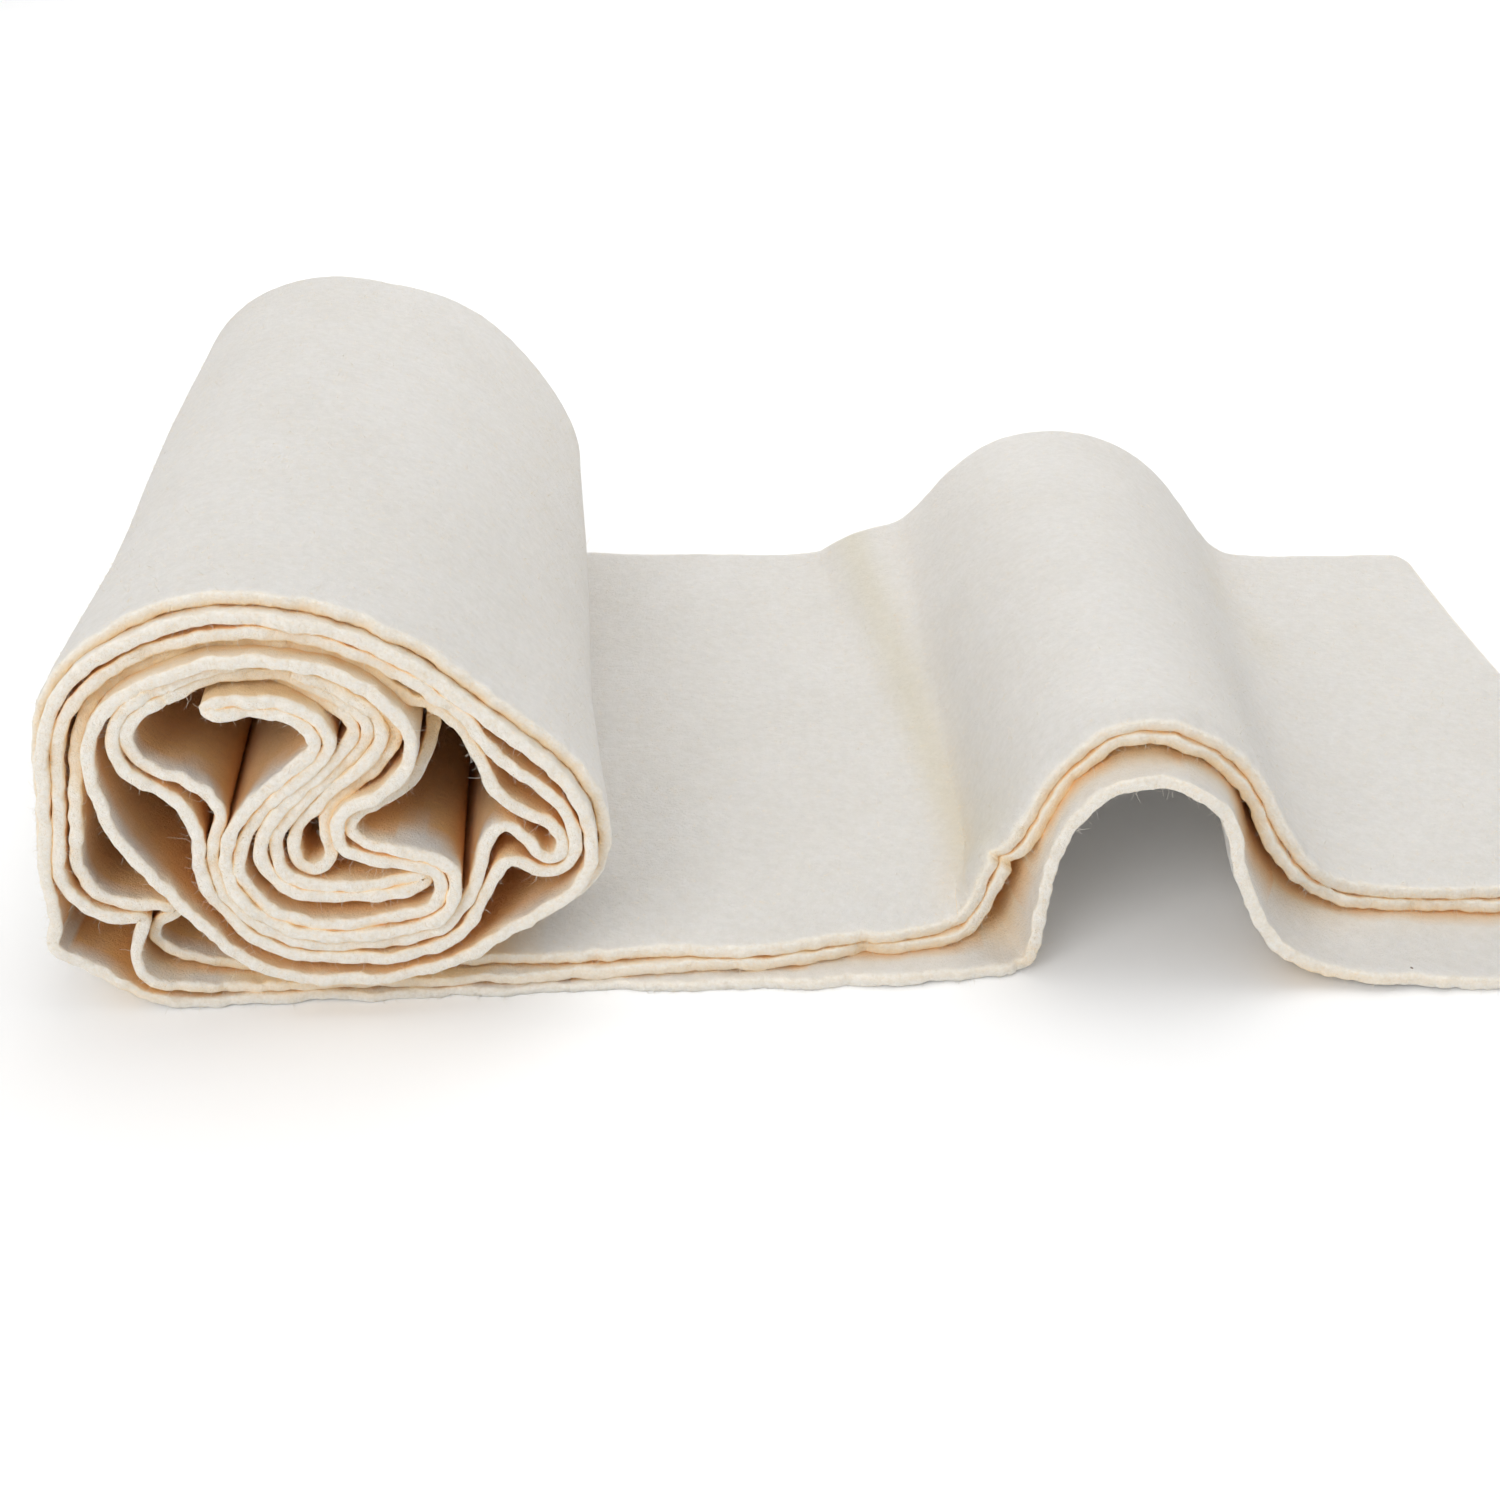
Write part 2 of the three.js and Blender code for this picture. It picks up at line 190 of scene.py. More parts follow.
middle_heart = [
    # x, z
    (-164.2, 93.1), (-155.3, 94.1), (-144.3, 93.6), (-135.6, 91.6), (-129.1, 88.4), (-124.1, 85.1),
    (-121.3, 81.5), (-120.5, 77.5), (-121.6, 73.6), (-124.4, 69.7), (-128.6, 66.3), (-133.5, 62.4),
    (-137.6, 58.9), (-139.4, 54.7), (-139.4, 50.6), (-138.1, 47.4), (-136.1, 45.2), (-137.9, 43),
    (-141.3, 40.5), (-144.3, 40.8), (-146.5, 43.2), (-147.1, 47.4), (-146.5, 51.1), (-144.2, 54.9),
    (-140.6, 58.7), (-135.8, 63.2), (-131.1, 67.1), (-127.1, 70.8), (-124.4, 74.9), (-123.4, 78.7),
    (-123.9, 82.6), (-125.9, 85.1), (-128.7, 87.1), (-132.4, 88.6), (-135.6, 89.9), (-139.5, 91.9),
    (-144.3, 93.1),
]
upper_heart = [
    # x, z
    (-166.6, 90.1), (-158.7, 91.9), (-148.8, 92.1), (-140, 90.1), (-133.5, 87.6), (-129.2, 85.1),
    (-126.9, 82.3), (-126.3, 78.7), (-127.4, 74.9), (-130.2, 71.5), (-134.4, 68.2), (-139.1, 64.2),
    (-143.9, 60.5), (-147.7, 57.1), (-150, 53.3), (-151, 47.9), (-150.2, 42.1), (-147.6, 38.6),
    (-142.4, 36.9), (-134.7, 36.1), (-126.5, 36.1), (-120.4, 37.4), (-116.1, 39.4), (-114, 40.2),
    (-116, 36.9), (-121.9, 34.7), (-131.3, 33.5), (-140.7, 33.8), (-147.6, 34.9), (-151.8, 38.6),
    (-154.1, 43), (-154.7, 47.9), (-153, 52.8), (-148.6, 57.9), (-142.6, 63.4), (-136.7, 68.4),
    (-132.4, 73.1), (-129.2, 78.2), (-130, 82.6), (-133.6, 85.3), (-137.9, 87.9), (-144.5, 90.4),
    (-151.1, 90.6), (-157.7, 90.1), (-163.4, 89.1),
]


def bend_through(points, steps):
    """Rounded line through the points, with the wanted number of steps between each two."""
    points = np.asarray(points, float)
    held = np.vstack([2 * points[0] - points[1], points, 2 * points[-1] - points[-2]])
    line = []
    for row, count in enumerate(steps):
        a, b, c, d = held[row : row + 4]
        t1 = np.linalg.norm(b - a) ** 0.5 + 1e-6
        t2 = t1 + np.linalg.norm(c - b) ** 0.5 + 1e-6
        t3 = t2 + np.linalg.norm(d - c) ** 0.5 + 1e-6
        t = (t1 + (t2 - t1) * np.arange(count) / count)[:, None]
        ab = (t1 - t) / t1 * a + t / t1 * b
        bc = (t2 - t) / (t2 - t1) * b + (t - t1) / (t2 - t1) * c
        cd = (t3 - t) / (t3 - t2) * c + (t - t2) / (t3 - t2) * d
        abc = (t2 - t) / t2 * ab + t / t2 * bc
        bcd = (t3 - t) / (t3 - t1) * bc + (t - t1) / (t3 - t1) * cd
        line.append((t2 - t) / (t2 - t1) * abc + (t - t1) / (t2 - t1) * bcd)
    return np.vstack(line + [points[-1:]])


def gone(line):
    """Length gone along a line at each of its points."""
    return np.r_[0, np.cumsum(np.linalg.norm(np.diff(line, axis=0), axis=1))]


def outward(line):
    """Direction to the left of the line at each of its points, which is out of the roll."""
    way = np.gradient(line, axis=0)
    way = way / np.maximum(np.linalg.norm(way, axis=1), 1e-9)[:, None]
    return np.column_stack([-way[:, 1], way[:, 0]])


def eased(value, low, high):
    part = np.clip((value - low) / (high - low), 0, 1)
    return part * part * (3 - 2 * part)


def softened(values, rounds):
    """Values along a line, each one eased towards its neighbours."""
    values = np.array(values, float)
    for _ in range(rounds):
        values[1:-1] += 0.5 * ((values[:-2] + values[2:]) / 2 - values[1:-1])
    return values


lying = np.array(lying_rows)
winding = np.array(winding_rows)
half = felt_thickness / 2
low_lying = lying[:, 0:2] - outward(lying[:, 0:2]) * half
mid_lying = lying[:, 3:5] - outward(lying[:, 3:5]) * half
up_lying = lying[:, 3:5] - outward(lying[:, 3:5]) * (half + 3.4)
low_points = np.vstack([low_lying, winding[:, 0:2]])
mid_points = np.vstack([mid_lying, winding[:, 2:4]])
up_points = np.vstack([up_lying, winding[:, 4:6]])

# Every ply gets its stations at the same places of the winding, so that folds can join them.
spans = [np.linalg.norm(np.diff(line, axis=0), axis=1) for line in (low_points, mid_points, up_points)]
spans = np.max(spans, axis=0)
steps = np.maximum(1, np.round(spans / station_step)).astype(int)
shared_count = int(steps.sum()) + 1
lying_count = int(steps[: len(lying)].sum())
row_of_station = np.interp(np.arange(shared_count), np.r_[0, np.cumsum(steps)], np.arange(len(steps) + 1))
plies = {}
for ply, points, heart in (
    ("lower", low_points, lower_heart),
    ("middle", mid_points, middle_heart),
    ("upper", up_points, upper_heart),
):
    heart = np.array(heart)
    heart_spans = np.linalg.norm(np.diff(np.vstack([points[-1:], heart]), axis=0), axis=1)
    heart_steps = np.maximum(1, np.round(heart_spans / 2.0)).astype(int)
    plies[ply] = bend_through(np.vstack([points, heart]), list(steps) + list(heart_steps))

# The foot of the lower ply is eased to the bend that felt this thick takes.
foot = slice(int(steps[:23].sum()), int(steps[:33].sum()))
plies["lower"][foot] = softened(plies["lower"][foot], 5)

# On the hump the middle and the upper ply are kept clear of the ply under them.
for under, over in (("lower", "middle"), ("middle", "upper")):
    low, high = plies[under][:lying_count], plies[over][:lying_count]
    apart = np.linalg.norm(high[:, None] - low[None], axis=2)
    near = low[np.argmin(apart, axis=1)]
    up = -outward(low)[np.argmin(apart, axis=1)]
    clear = ((high - near) * up).sum(axis=1)
    lift = softened(np.maximum(0, ply_pitch - clear) * (high[:, 0] > -30), 4)
    plies[over][:lying_count] = high + up * lift[:, None]

# The traced lines push each other apart at the front edge, to give the plies room for their
# thickness. Behind the front edge the plies are simpler and nothing keeps them apart.
order = list(plies)
loose = np.vstack([plies[ply] for ply in order])
ply_of = np.concatenate([np.full(len(plies[ply]), i) for i, ply in enumerate(order)])
gone_of = np.concatenate([gone(plies[ply]) for ply in order])
held = np.concatenate([np.arange(len(plies[ply])) < lying_count for ply in order])
held = held & (loose[:, 0] > -168)
near_roll = np.where(loose[:, 0] < -55)[0]
traced = loose.copy()
room = felt_thickness
settling_turns = 150
pairs_every = 6
push_share = 0.175
bend_share = 0.1
return_share = 0.035
ends = np.cumsum([0] + [len(plies[ply]) for ply in order])
for turn in range(settling_turns):
    if turn % pairs_every == 0:
        here = loose[near_roll]
        apart = ((here[:, None, :] - here[None, :, :]) ** 2).sum(axis=2)
        first, second = np.where(apart < (room + 0.8) ** 2)
        keep = first < second
        first, second = near_roll[first[keep]], near_roll[second[keep]]
        keep = (ply_of[first] != ply_of[second]) | (np.abs(gone_of[first] - gone_of[second]) > room * 2.1)
        first, second = first[keep], second[keep]
    between = loose[second] - loose[first]
    distance = np.linalg.norm(between, axis=1) + 1e-9
    push = between / distance[:, None] * (np.maximum(room - distance, 0) * push_share)[:, None]
    moved = np.zeros_like(loose)
    times = np.zeros(len(loose))
    np.add.at(moved, first, -push)
    np.add.at(moved, second, push)
    np.add.at(times, first, distance < room)
    np.add.at(times, second, distance < room)
    moved /= np.maximum(times, 1)[:, None] ** 0.5
    moved[held] = 0
    loose = loose + moved
    for start, stop in zip(ends[:-1], ends[1:]):
        line = loose[start:stop]
        bend = np.zeros_like(line)
        bend[1:-1] = (line[:-2] + line[2:]) / 2 - line[1:-1]
        bend[held[start:stop]] = 0
        loose[start:stop] = line + bend_share * bend + return_share * (traced[start:stop] - line)
    loose[:, 1] = np.maximum(loose[:, 1], half)
plies = {ply: loose[start:stop] for ply, start, stop in zip(order, ends[:-1], ends[1:])}


# Each settled line then gets a station halfway between every two, to carry the felt's small lumps.
def doubled(values):
    """Values along a line with one more, on the same rounded line, between each two."""
    values = np.asarray(values, float)
    held = np.concatenate([2 * values[:1] - values[1:2], values, 2 * values[-1:] - values[-2:-1]])
    full = np.empty((2 * len(values) - 1,) + values.shape[1:])
    full[0::2] = values
    full[1::2] = (9 * (held[1:-2] + held[2:-1]) - held[:-3] - held[3:]) / 16
    return full


# ---------------------------------------------------------------------------------------------
# The batting itself, as two nested folds of felt. The outer fold is the upper ply and the outermost
# ply, joined by a soft closed fold at the back; the inner fold, the lower and the middle ply, lies
# in it the same way. In front all plies end in cut edges.
# ---------------------------------------------------------------------------------------------
front_rows = np.array([0, 0.3, 0.8, 1.7, 3.4, 6.5, 12, 20, 31])
back_rows = np.array([13, 4.5, 1.4, 0.4, 0])
middle_rows = 5
rows_across = len(front_rows) + middle_rows + len(back_rows)
fold_steps = 5
centre_line = softened(plies["lower"][:shared_count], 50)
centre_line[:, 1] = np.maximum(centre_line[:, 1], half)
out_front = doubled(outward(softened(centre_line, 12)))
back_base = softened(bend_through(np.vstack([lying[:, 6:8], winding[:, 0:2]]), steps), 5)
out_back = doubled(outward(softened(back_base, 12)))
centre_line, back_base = doubled(centre_line), doubled(back_base)
plies = {ply: doubled(line) for ply, line in plies.items()}
shared_count = 2 * shared_count - 1
row = np.interp(np.arange(shared_count) / 2, np.arange(len(row_of_station)), row_of_station) - len(lying)
fold_stop = int(np.searchsorted(row, 40))
lifted = 1 - eased(row, 3, 8)
on_table = 1 - eased(row, -0.5, 1)
tidied = 1 - eased(row, 35, 43)
under_roll = eased(row, -5.2, -3.6) * (1 - eased(row, 2, 6))
pitch = ply_pitch + (pressed_pitch - ply_pitch) * under_roll
outermost_pitch = np.interp(row, [-60, -4, 2, 6, 14, 19], [3.3, 2.75, 2.6, 2.2, 2.3, 3.2])
back_base = back_base - out_back * (half * on_table[:, None])


def uneven(seed, along, spread, wave):
    """Gentle waviness along a length, the same each run."""
    luck = np.random.default_rng(seed)
    total = np.zeros_like(along)
    for _ in range(7):
        length = wave * luck.uniform(0.35, 1.8)
        total += np.sin(along * 2 * np.pi / length + luck.uniform(0, 6.28)) * luck.uniform(0.4, 1)
    return total * spread / 2.2


# Front edges: the lying cloth is drawn a little behind the roll, and the core stands proud of it.
station_x = plies["lower"][:shared_count, 0]
front_edge = np.interp(station_x, [-179.3, -75.3], [roll_front, lying_front])
front_edge = front_edge * lifted + roll_front * (1 - lifted)
front_edge = front_edge + (core_front - roll_front) * eased(row, 39, 46)
back_edge = lying_back + (roll_back - lying_back) * np.interp(station_x, [-110, -60], [1, 0])
corner_share = np.clip(1 - gone(plies["lower"])[:shared_count] / 8, 0, 1)
back_edge = back_edge - 6.5 * (1 - np.sqrt(1 - corner_share**2))
low_set_back = np.interp(row, np.arange(len(lying)) - len(lying), lying[:, 2])
stack_set_back = np.interp(row, np.arange(len(lying)) - len(lying), lying[:, 5])
outermost_set_back = np.interp(row, [-60, -4, 0, 6, 12, 17, 27, 36, 44], [25, 22, 20, 15, 7, 3.5, 3, 6, 14])
bottom_set_back = np.interp(row, [-12, -8, 0, 4, 10], [0.5, 0.5, 6, 3, 0.4])

# Set-back of each cut edge in the heart of the roll, by the length gone since the shared stations.
heart_set_back = {
    "lower": [(0, 0), (60, 0.3), (200, 1), (245, 0), (415, 0), (437, 3), (455, 13), (480, 28)],
    "middle": [(0, 1), (25, 5), (50, 4), (90, 3), (140, 2), (178, 3)],
    "upper": [(0, 1), (25, 5), (50, 3), (100, 1.5), (212, 1), (232, 5), (258, 12)],
}
place_of = {"outermost": 0, "lower": 0, "middle": 1, "upper": 2}
lines = dict(plies)
lines["outermost"] = plies["lower"][:fold_stop]
edges = {}
for seed, ply in enumerate(("outermost", "lower", "middle", "upper")):
    line = lines[ply]
    count, shared = len(line), min(len(line), shared_count)
    edge = np.full(count, front_edge[-1])
    edge[:shared] = front_edge[:shared]
    long_way = gone(line)
    if ply == "outermost":
        edge += outermost_set_back[:shared]
    else:
        table = np.array(heart_set_back[ply])
        edge += np.interp(long_way - long_way[shared_count - 1], table[:, 0], table[:, 1], left=0)
    if ply == "lower":
        edge[:shared] += low_set_back
    if ply in ("middle", "upper"):
        edge[:shared] += np.where(row < -0.5, stack_set_back, 0.6)
    if ply == "upper":
        edge[:shared] += bottom_set_back
    if ply == "upper":
        edge[:shared] += 2 * eased(row, 12, 16) * (1 - eased(row, 26, 30))
    # a nick in the two edges at the foot of the hump, and a jog further left
    for nick_x, nick_z, back, reach in ((24.4, 31, 2.4, 1.5), (-7.5, 8, 1.5, 2.2)):
        if ply in ("middle", "upper"):
            start = int(np.argmin(np.linalg.norm(line[:shared] - (nick_x, nick_z), axis=1)))
            edge += back * np.exp(-(((long_way - long_way[start]) / reach) ** 2))
    edges[ply] = edge + uneven(11 + seed, long_way, 0.45, 26) + uneven(31 + seed, long_way, 0.16, 5)


def settle(x, y, z):
    """The roll is fuller at the back of its right shoulder, and drawn in at the left."""
    deep = eased(y, roll_front, roll_back)
    sideways = np.clip((x + 137.4) / 66.3, -1, 1) * (x < -55)
    height = np.clip(z / 104.6, 0, 1)
    x = x + 3.5 * deep * np.maximum(0, -sideways)
    z = z + 7 * deep * height**2 * np.maximum(0, sideways)
    return x, z


def lay(ply, depths):
    """Where a ply lies at the given depths, one row of them for each of its stations."""
    line, place = lines[ply], place_of[ply]
    count, shared = len(line), min(len(line), shared_count)
    x = np.repeat(line[:, :1], depths.shape[1], axis=1)
    z = np.repeat(line[:, 1:], depths.shape[1], axis=1)
    deep = depths[:shared] - front_edge[:shared, None]
    along = np.clip((depths[:shared] - lying_front) / (lying_back - lying_front), 0, 1)
    along = along * on_table[:shared, None]
    out = out_front[:shared, None] * (1 - along[..., None]) + out_back[:shared, None] * along[..., None]
    out = out / np.linalg.norm(out, axis=2, keepdims=True)
    base = centre_line[:shared, None] * (1 - along[..., None]) + back_base[:shared, None] * along[..., None]
    gap = pitch[:shared, None] * place
    stray = line[:shared] - (centre_line[:shared] - out_front[:shared] * gap)
    rise = eased(deep, 12, 23) * (lifted * pitch)[:shared, None]
    if ply == "outermost":
        rise = rise - outermost_pitch[:shared, None]
    fade = 1 - eased(deep, 0, 50 + 20 * (1 - on_table[:shared, None]))
    fade = 1 - tidied[:shared, None] * (1 - fade)
    point = base - out * (gap + rise)[..., None] + stray[:, None] * fade[..., None]
    x[:shared], z[:shared] = point[..., 0], point[..., 1]
    # The winding rests on the pressed cloth under it, which is one ply higher behind its front.
    wound = eased(np.arange(count), fold_stop - 32, fold_stop)[:, None]
    z += 1.4 * wound * eased(depths - lying_front, 4, 16) * (1 - eased(z, 12, 60))
    return x, z


def felt_fold(inside, outside):
    """One piece of felt from its inside ply, round the fold at the back, to its outside ply."""
    across = rows_across * 2 + fold_steps
    stations = max(len(lines[inside]), len(lines[outside]))
    places = np.zeros((stations, across, 3))
    there = np.zeros((stations, across), bool)
    to_edge = np.full((stations, across), 99.0)
    for ply in (inside, outside):
        line = lines[ply]
        count = len(line)
        behind = np.full(count, back_edge[-1])
        behind[: min(count, shared_count)] = back_edge[: min(count, shared_count)]
        behind += uneven(51, gone(line), 0.5, 60)
        cut = eased(np.arange(count), fold_stop - 4, fold_stop + 16)
        behind = behind - 6.6 * (1 - cut)
        near = edges[ply][:, None] + front_rows
        far = behind[:, None] - back_rows
        share = np.arange(1, middle_rows + 1) / (middle_rows + 1)
        depths = np.hstack([near, near[:, -1:] + (far[:, :1] - near[:, -1:]) * share, far])
        x, z = lay(ply, depths)
        long_way = gone(line)
        end = np.minimum(long_way, long_way[-1] - long_way)[:, None]
        edge = np.minimum(depths - depths[:, :1], end)
        open_back = np.arange(count)[:, None] >= fold_stop
        edge = np.where(open_back, np.minimum(edge, depths[:, -1:] - depths), edge)
        columns = np.arange(rows_across)
        if ply == outside:
            columns = across - 1 - columns
        places[:count, columns] = np.stack([x, depths, z], axis=2)
        there[:count, columns] = True
        to_edge[:count, columns] = edge
    bend = np.arange(1, fold_steps + 1) / (fold_steps + 1) * np.pi
    start = places[:fold_stop, rows_across - 1]
    stop = places[:fold_stop, rows_across + fold_steps]
    reach = (start - stop) / 2
    bulge = np.linalg.norm(reach, axis=1)[:, None, None] * np.array([0, 1, 0])
    centre = (start + stop)[:, None] / 2
    fold = centre + reach[:, None] * np.cos(bend)[:, None] + bulge * np.sin(bend)[:, None]
    middle = slice(rows_across, rows_across + fold_steps)
    places[:fold_stop, middle] = fold
    there[:fold_stop, middle] = True
    stop_length = gone(lines["lower"])
    open_end = (stop_length[fold_stop - 1] - stop_length[:fold_stop])[:, None]
    to_edge[:fold_stop, middle] = np.minimum(open_end, stop_length[:fold_stop, None])
    return places, there, to_edge


def rounded(distance):
    """Share of the full thickness at a distance from a cut edge."""
    part = np.clip(distance / 0.9, 0, 1)
    return 0.64 + 0.36 * (1 - (1 - part) ** 3) ** (1 / 3)


def sway(places):
    """The whole stack gives a little, as soft felt does, and its plies give together."""
    luck = np.random.default_rng(7)
    moved = places.copy()
    for _ in range(14):
        wave = luck.normal(size=3)
        wave *= 2 * np.pi / luck.uniform(22, 75) / np.linalg.norm(wave)
        wave[1] = np.clip(wave[1], -0.04, 0.04)
        amount = luck.normal(size=2) * 0.16
        swing = np.sin(places @ wave + luck.uniform(0, 6.28))
        moved[..., 0] += amount[0] * swing
        moved[..., 2] += amount[1] * swing
    return moved


# Cover of each side of each ply by the next one, from which the warm painted shade of the tucks follows.
outer_line = lines["outermost"] + out_front[:fold_stop] * ply_pitch * (1 - lifted[:fold_stop, None])
cover_line = np.vstack([outer_line] + [plies[ply] for ply in order])
cover_edge = np.concatenate([edges["outermost"]] + [edges[ply] for ply in order])
cover_ply = [np.full(fold_stop, -1)] + [np.full(len(plies[ply]), i) for i, ply in enumerate(order)]
cover_ply = np.concatenate(cover_ply)
cover_gone = np.concatenate([gone(outer_line)] + [gone(plies[ply]) for ply in order])


def cover(ply, side):
    """Gap to the next ply on a side, and the depth of that ply's front edge."""
    line = outer_line if ply == "outermost" else plies[ply]
    number = -1 if ply == "outermost" else order.index(ply)
    facing = side * outward(softened(line, 16))
    probe = line + facing * half
    away = cover_line[None] - line[:, None]
    apart = np.linalg.norm(probe[:, None] - cover_line[None], axis=2)
    own = (cover_ply[None] == number) & (np.abs(gone(line)[:, None] - cover_gone[None]) < 9)
    behind = (away * facing[:, None]).sum(axis=2) < 1
    apart = np.where(own | behind, 99, apart)
    nearest = np.argmin(apart, axis=1)
    return apart[np.arange(len(line)), nearest] - half, cover_edge[nearest]


def nap(places, seed, low, high):
    """Small soft lumps of the felt, between about -1 and 1, with sizes from low to high."""
    luck = np.random.default_rng(seed)
    total = np.zeros(places.shape[:-1])
    for _ in range(16):
        wave = luck.normal(size=3)
        wave *= 2 * np.pi / luck.uniform(low, high) / np.linalg.norm(wave)
        total += np.sin(places @ wave + luck.uniform(0, 6.28))
    return np.clip(total / 4, -1, 1)


# Valleys at the feet of the hump, where the upper ply is given a warm painted shade.
creases = [
    # front_x, back_x, front_y, back_y, spread, strength
    (23.5, 16.5, -96, 125, 5.5, 0.8),
    (142, 120, 30, 90, 6, 0.35),
]


def felt_piece(name, inside, outside):
    """Closed felt body: the middle surface is given its thickness, thinner at the cut edges."""
    places, there, to_edge = felt_fold(inside, outside)
    places = sway(places)
    places[..., 0], places[..., 2] = settle(places[..., 0], places[..., 1], places[..., 2])
    stations = places.shape[0]
    pressed = np.full(stations, 1.0)
    pressed[: min(stations, shared_count)] = np.minimum(1, (pitch / 2 - 0.03) / half)[:stations]
    near_edge = 1 - eased(to_edge, 1.5, 10)
    lumps = (0.03 + 0.08 * near_edge) * nap(places, 21, 3.2, 8)
    thick = half * pressed[:, None] * rounded(to_edge) * (1 + lumps)
    places[..., 1] += 0.26 * near_edge * nap(places, 22, 3.4, 9)
    if outside == "outermost":
        thick[:fold_stop, -rows_across:] *= np.minimum(1, outermost_pitch[:fold_stop] / ply_pitch)[:, None]

    number = np.full(there.shape, -1)
    number[there] = np.arange(there.sum())
    a, b, c, d = number[:-1, :-1], number[1:, :-1], number[1:, 1:], number[:-1, 1:]
    whole = (a >= 0) & (b >= 0) & (c >= 0) & (d >= 0)
    quads = np.stack([a[whole], b[whole], c[whole], d[whole]], axis=1)
    mid, thick = places[there], thick[there]
    swell = (0.05 + 0.15 * near_edge[there]) * nap(mid, 23, 4, 11)
    facing = np.cross(mid[quads[:, 2]] - mid[quads[:, 0]], mid[quads[:, 3]] - mid[quads[:, 1]])
    normal = np.zeros_like(mid)
    for corner in range(4):
        np.add.at(normal, quads[:, corner], facing)
    normal /= np.maximum(np.linalg.norm(normal, axis=1), 1e-9)[:, None]
    total = len(mid)
    mid = mid + normal * swell[:, None]
    points = np.vstack([mid + normal * thick[:, None], mid - normal * thick[:, None]])
    points[:, 2] = np.maximum(points[:, 2], 0.02)
    sides = np.vstack([quads[:, [k, (k + 1) % 4]] for k in range(4)])
    rim = sides[~np.isin(sides[:, 0] * total + sides[:, 1], sides[:, 1] * total + sides[:, 0])]
    rims = np.stack([rim[:, 1], rim[:, 0], rim[:, 0] + total, rim[:, 1] + total], axis=1)
    faces = np.vstack([quads, quads[:, ::-1] + total, rims])

    # How near each point is to a cut edge, and how far it is tucked away under the next ply; from this comes
    # a painted shade, a warm tint laid in tight crevices and deep hollows.
    painted_tuck_shade = np.zeros((2,) + there.shape)
    for ply, columns, outward_layer in (
        (inside, np.arange(rows_across), 0),
        (outside, np.arange(rows_across * 2 + fold_steps - 1, rows_across + fold_steps - 1, -1), 1),
    ):
        block = np.ix_(np.arange(len(lines[ply])), columns)
        exposed = {"outermost": row < 41, "lower": row < 41, "upper": row < -3}
        for side in (1, -1):
            gap, cover_front = cover(ply, side)
            depth = places[block][..., 1]
            within = depth - np.maximum(cover_front, edges[ply])[:, None]
            within = np.minimum(within, depth.max(axis=1)[:, None] - depth)
            count = min(len(gap), shared_count)
            outside_face = np.zeros(len(gap), bool)
            if (ply == "upper") == (side == -1) and ply != "middle":
                outside_face[:count] = exposed[ply][:count]
            tight = (1 - eased(gap, 0.3, 5))[:, None] * eased(within, 0, 1.3)
            fade_in = 3 + 0.65 * np.minimum(gap, 40)[:, None]
            hollow = (1 - eased(gap, 22, 36))[:, None] * eased(within, 0, fade_in)
            layer = outward_layer if side == 1 else 1 - outward_layer
            painted_tuck_shade[layer][block] = np.where(outside_face[:, None], tight, np.maximum(tight, hollow))
    painted_valley_shade = np.zeros((2,) + there.shape)
    if inside == "upper":
        # painted shade: the cloth is tinted a little warmer in the creases on both sides of its hump, where
        # the valleys fall into shade
        x, y = places[..., 0], places[..., 1]
        for front_x, back_x, front_y, back_y, spread, strength in creases:
            share = np.clip((y - front_y) / (back_y - front_y), 0, 1)
            ends = eased(y, front_y - 14, front_y + 6) * (1 - eased(y, back_y - 6, back_y + 14))
            valley_shade_tint = strength * ends * np.exp(-(((x - front_x - (back_x - front_x) * share) / spread) ** 2))
            stop = int(np.searchsorted(row, -3))
            painted_valley_shade[1][:stop, :rows_across] = np.maximum(painted_valley_shade[1], valley_shade_tint)[:stop, :rows_across]
    rim_share = 1 - eased(to_edge[there], 0.4, 2.2)

    mesh = bpy.data.meshes.new(name)
    mesh.from_pydata((points * MM).tolist(), [], faces.tolist())
    mesh.shade_smooth()
    shares = {
        "rim": np.tile(rim_share, 2),
        "painted_tuck_shade": np.concatenate([painted_tuck_shade[0][there], painted_tuck_shade[1][there]]),
        "painted_valley_shade": np.concatenate([painted_valley_shade[0][there], painted_valley_shade[1][there]]),
    }
    for share, values in shares.items():
        mesh.attributes.new(share, "FLOAT", "POINT").data.foreach_set("value", values)
    piece = bpy.data.objects.new(name, mesh)
    bpy.context.collection.objects.link(piece)
    return piece, points, number, normal


